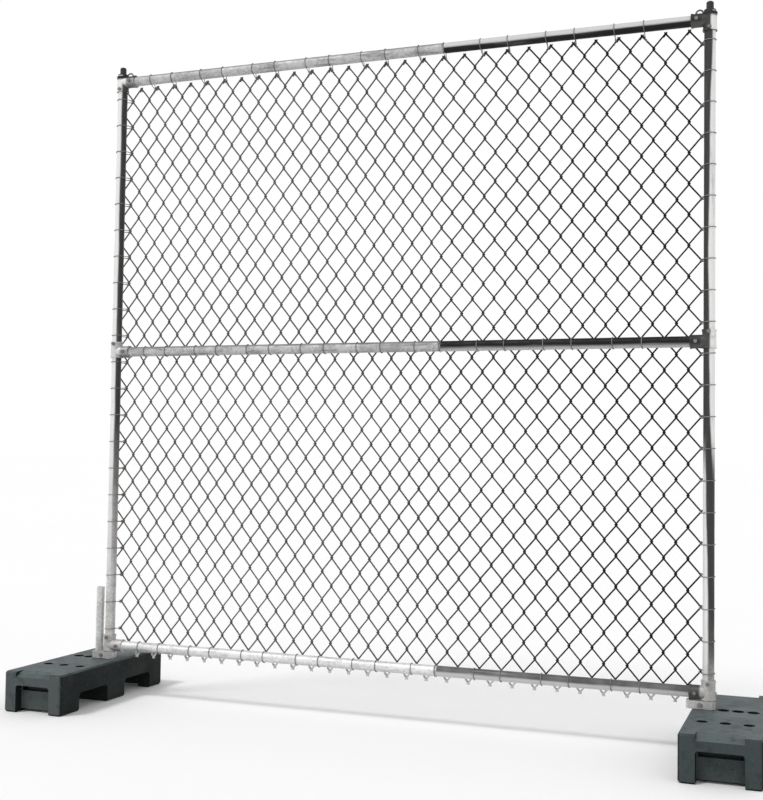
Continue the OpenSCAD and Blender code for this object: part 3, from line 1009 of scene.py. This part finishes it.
@dataclass
class WireTies:
    """Wire ties that lash the mesh to the posts and rails, coiled on the mesh at both ends."""

    link: ChainLink
    wire_r: float = 0.0013
    gap: float = 0.0002
    pitch: float = 0.0030
    coil_turns: float = 1.25
    coil_steps: int = 6
    wrap_steps: int = 12
    sides: int = 6
    rail_step: int = 3
    rail_end: int = 2
    tee_room: float = 0.0090

    def lash(self, reach: tuple[float, float], tube_r: float,
             mesh_r: float) -> list[tuple[float, float, float, bool]]:
        """Lay a tie round a tube at the origin and a mesh wire at reach.

        Args:
            reach: The mesh wire's place in the tie's own plane.
            tube_r: The tube's radius.
            mesh_r: The radius of what the tie's ends coil round.

        Returns:
            For each point its two places in the plane, its place across the plane, and whether it
            lies on the mesh wire.
        """
        wrap_r = tube_r + self.wire_r + self.gap
        coil_r = mesh_r + self.wire_r + self.gap
        along = math.atan2(reach[1], reach[0])
        spread = math.acos((wrap_r - coil_r) / math.hypot(*reach))
        turns = self.coil_turns * 2 * math.pi
        coil_w = self.coil_turns * self.pitch
        coil_n = round(self.coil_turns * self.coil_steps)
        half = self.pitch / 2
        points = []

        def add(angle: float, radius: float, across: float, on_mesh: bool) -> None:
            """Add one point of the tie."""
            u, v = reach if on_mesh else (0.0, 0.0)
            points.append((u + radius * math.cos(angle), v + radius * math.sin(angle), across,
                           on_mesh))

        for n in range(coil_n + 1):
            left = 1 - n / coil_n
            add(along - spread + left * turns, coil_r, half + left * coil_w, True)
        sweep = 2 * math.pi - 2 * spread
        for n in range(self.wrap_steps + 1):
            share = n / self.wrap_steps
            add(along - spread - share * sweep, wrap_r, half - share * self.pitch, False)
        for n in range(coil_n + 1):
            done = n / coil_n
            add(along + spread - done * turns, coil_r, -half - done * coil_w, True)
        return points

    def post_tie(self, post: Vector, tube_r: float, side: Side, i: int) -> Path:
        """Lay the tie round a post at one of the mesh's outer bends.

        Args:
            post: The middle of the post.
            tube_r: The post's radius.
            side: The panel's side that the post stands at.
            i: The bend.

        Returns:
            The tie's path.
        """
        outer = self.link.bend_edge(self.link.tied_picket(side), i)
        reach = (outer + side.value * self.link.depth - post.x, self.link.y - post.y)
        room = self.link.wire_r + self.link.depth / 2
        z = self.link.bend_z(i)
        return [Vector((post.x + u, post.y + v, z + w))
                for u, v, w, _ in self.lash(reach, tube_r, room)]

    def rail_tie(self, rail: Vector, tube_r: float, k: int, z: float) -> Path:
        """Lay the tie round a rail at one of the mesh's wires.

        Args:
            rail: The middle of the rail.
            tube_r: The rail's radius.
            k: The wire.
            z: The height at which the tie's ends coil.

        Returns:
            The tie's path.
        """
        hold, slope = self.link.strand(k, z)
        path = []
        for u, v, w, on_mesh in self.lash((hold.y - rail.y, z - rail.z), tube_r, self.link.wire_r):
            lean = slope * w if on_mesh else 0.0
            path.append(Vector((hold.x + w, rail.y + u, rail.z + v + lean)))
        return path

    def post_ties(self, side: Side) -> list[Path]:
        """Lay the ties of one post, clear of the tees at its rails.

        Args:
            side: The panel's side that the post stands at.

        Returns:
            One path for each tie.
        """
        hand = side.name.lower()
        low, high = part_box(f"{hand}_post")
        tees = [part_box(f"{level}_{hand}_tee") for level in LEVELS]
        k = self.link.tied_picket(side)
        paths = []
        for i in range(1, self.link.half_rows):
            z = self.link.bend_z(i)
            clear = all(z < a.z - self.tee_room or z > b.z + self.tee_room for a, b in tees)
            if clear and self.link.bend_side(k, i) is side:
                paths.append(self.post_tie((low + high) / 2, (high.x - low.x) / 2, side, i))
        return paths

    def rail_ties(self, level: str) -> list[Path]:
        """Lay the ties of one rail.

        Args:
            level: Which rail it is, by name.

        Returns:
            One path for each tie.
        """
        low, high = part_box(f"{level}_rail_left")
        rail = (low + high) / 2
        z = min(rail.z, self.link.top_z - self.link.tail)
        stop = self.link.pickets - self.rail_end
        return [self.rail_tie(rail, (high.z - low.z) / 2, k, z)
                for k in range(self.rail_step, stop, self.rail_step)]

    def build(self) -> None:
        """Make each set of ties, which stands for the ties' solids."""
        sets = {f"{side.name.lower()}_post": self.post_ties(side) for side in Side}
        sets |= {f"{level}_rail": self.rail_ties(level) for level in LEVELS}
        for tube, paths in sets.items():
            mesh = swept(paths, self.wire_r, self.sides, f"{tube}_lashings")
            add_piece(mesh, TIE_ZINC, f"{tube}_ties")


# Solids and studio


@dataclass
class Solids:
    """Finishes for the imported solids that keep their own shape."""

    finishes: dict[str, Finish] = field(default_factory=lambda: {
        "left_post": LEFT_POST,
        "right_post": RIGHT_POST,
        "top_left_tee": LEFT_TEE,
        "middle_left_tee": PALE_LEFT_TEE,
        "top_right_tee": RIGHT_TEE,
        "middle_right_tee": RIGHT_TEE,
        "bottom_right_tee": LOW_RIGHT_TEE,
        "left_corner_eye": EYE_ZINC,
        "right_corner_eye": EYE_ZINC,
        "top_rail_left": RAIL_ZINC,
        "middle_rail_left": RAIL_ZINC,
        "bottom_rail_left": LOW_RAIL_ZINC,
        "top_rail_right": TOP_RAIL,
        "middle_rail_right": MIDDLE_RAIL,
        "bottom_rail_right": BOTTOM_RAIL,
        "tee_set_bolts": TEE_BOLT,
        "left_post_cap": CAP_PLASTIC,
        "right_post_cap": CAP_PLASTIC,
        "left_foot": LEFT_FOOT_PLASTIC,
        "right_foot": RIGHT_FOOT_PLASTIC,
        "left_coupler_bolt": BOLT_ZINC,
        "right_coupler_bolt": BOLT_ZINC,
        "spigot": SPIGOT_ZINC,
    })
    rest: Finish = CAST_ZINC

    def dress(self) -> None:
        """Dress every solid that still shows."""
        for name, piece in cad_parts.items():
            if not piece.hide_render:
                self.finishes.get(name, self.rest).dress(piece)


@dataclass
class Studio:
    """The floor, the lights and the camera of the picture."""

    image_w: int = 763
    focal_px: float = 1211.6
    camera_at: tuple[float, float, float] = (1.3019, -3.4723, 0.8247)
    yaw: float = math.radians(20.55)
    pitch: float = math.radians(2.475)
    roll: float = math.radians(0.819)
    sensor: float = 36.0
    floor_half: float = 200.0
    floor_gap: float = 0.0005
    wall: float = 1.0
    ceiling: float = 0.62
    fade_between: Span = (0.40, 0.65)
    key: float = 1.3
    key_spread: float = math.radians(14)
    key_from: tuple[float, float, float] = (-0.45, -0.55, 1.0)

    def floor(self) -> None:
        """Lay the floor just under the feet."""
        bm = bmesh.new()
        bmesh.ops.create_grid(bm, x_segments=1, y_segments=1, size=self.floor_half)
        mesh = bpy.data.meshes.new("studio_floor")
        bm.to_mesh(mesh)
        bm.free()
        ground = bpy.data.objects.new("studio_floor", mesh)
        ground.location.z = CAD_BOX[0][2] - self.floor_gap
        bpy.context.scene.collection.objects.link(ground)
        FLOOR.dress(ground)

    def surround(self) -> None:
        """Set a studio that is white at eye level and dimmer overhead."""
        world = bpy.data.worlds.new("white_studio")
        world.use_nodes = True
        tree = world.node_tree
        way = tree.nodes.new("ShaderNodeTexCoord")
        axes = tree.nodes.new("ShaderNodeSeparateXYZ")
        tree.links.new(way.outputs["Generated"], axes.inputs[0])
        fade = smooth_map(tree, axes.outputs["Z"], self.fade_between, (self.wall, self.ceiling))
        tree.links.new(fade, tree.nodes["Background"].inputs["Strength"])
        tree.nodes["Background"].inputs["Color"].default_value = grey(1.0)
        bpy.context.scene.world = world

    def light(self) -> None:
        """Set the surround and one broad soft light from the front, high on the left."""
        self.surround()
        lamp = bpy.data.lights.new("soft_key", "SUN")
        lamp.energy = self.key
        lamp.angle = self.key_spread
        holder = bpy.data.objects.new("soft_key", lamp)
        holder.rotation_euler = Vector(self.key_from).to_track_quat("Z", "Y").to_euler()
        bpy.context.scene.collection.objects.link(holder)
        bpy.context.scene.view_settings.view_transform = "Standard"

    def camera(self) -> None:
        """Stand the camera where the photograph was taken from."""
        flat, rise = math.cos(self.pitch), math.sin(self.pitch)
        ahead = Vector((-math.sin(self.yaw) * flat, math.cos(self.yaw) * flat, rise))
        right = Vector((math.cos(self.yaw), math.sin(self.yaw), 0.0))
        up = right.cross(ahead)
        tilt = Matrix.Rotation(self.roll, 3, ahead).transposed()
        lens = bpy.data.cameras.new("photo_camera")
        lens.sensor_fit = "HORIZONTAL"
        lens.sensor_width = self.sensor
        lens.lens = self.focal_px * self.sensor / self.image_w
        holder = bpy.data.objects.new("photo_camera", lens)
        axes = Matrix((tilt @ right, tilt @ up, -ahead)).transposed()
        holder.matrix_world = Matrix.Translation(self.camera_at) @ axes.to_4x4()
        bpy.context.scene.collection.objects.link(holder)
        bpy.context.scene.camera = holder

    def build(self) -> None:
        """Set up the whole studio."""
        self.camera()
        self.floor()
        self.light()


def main() -> None:
    """Build the studio, the mesh, the ties and the finishes."""
    logging.basicConfig(level=logging.INFO, format="%(name)s %(message)s")
    Studio().build()
    link = ChainLink()
    link.build()
    WireTies(link).build()
    Solids().dress()


if __name__ == "__main__":
    main()
